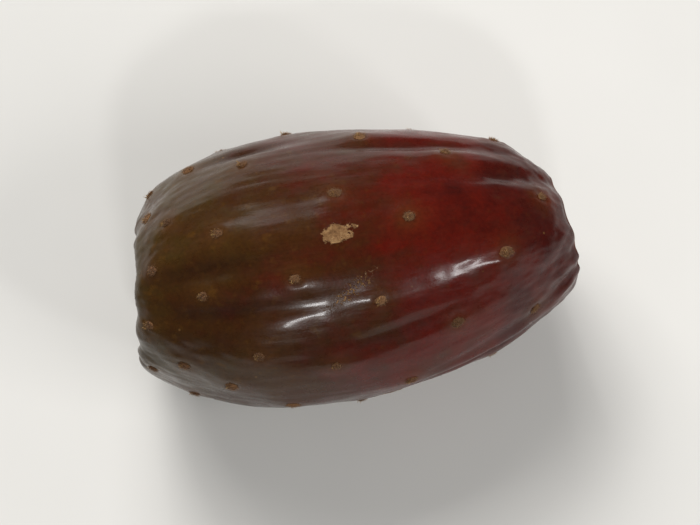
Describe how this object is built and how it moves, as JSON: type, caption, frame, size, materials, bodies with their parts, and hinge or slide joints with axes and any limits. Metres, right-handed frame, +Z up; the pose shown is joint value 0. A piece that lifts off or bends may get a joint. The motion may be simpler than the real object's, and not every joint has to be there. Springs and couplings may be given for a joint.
{
  "type": "prickly pear fruit",
  "caption": "Picked prickly pear on its side: barrel body with a dished flower end, a knife-cut stem end, low mounds and small felted spots on a waxy skin.",
  "frame": {"origin": "centre of the bounding box's bottom face, on the surface that the fruit rests on", "axes": "+X along the fruit from the dished flower end to the cut stem end, +Y across it, +Z up"},
  "size_m": [0.0822, 0.0502, 0.0471],
  "materials": {
    "skin": "satin",
    "felt": "matte",
    "bristle": "satin"
  },
  "bodies": {
    "root": {"prickly_pear": "skin"}
  },
  "joints": []
}
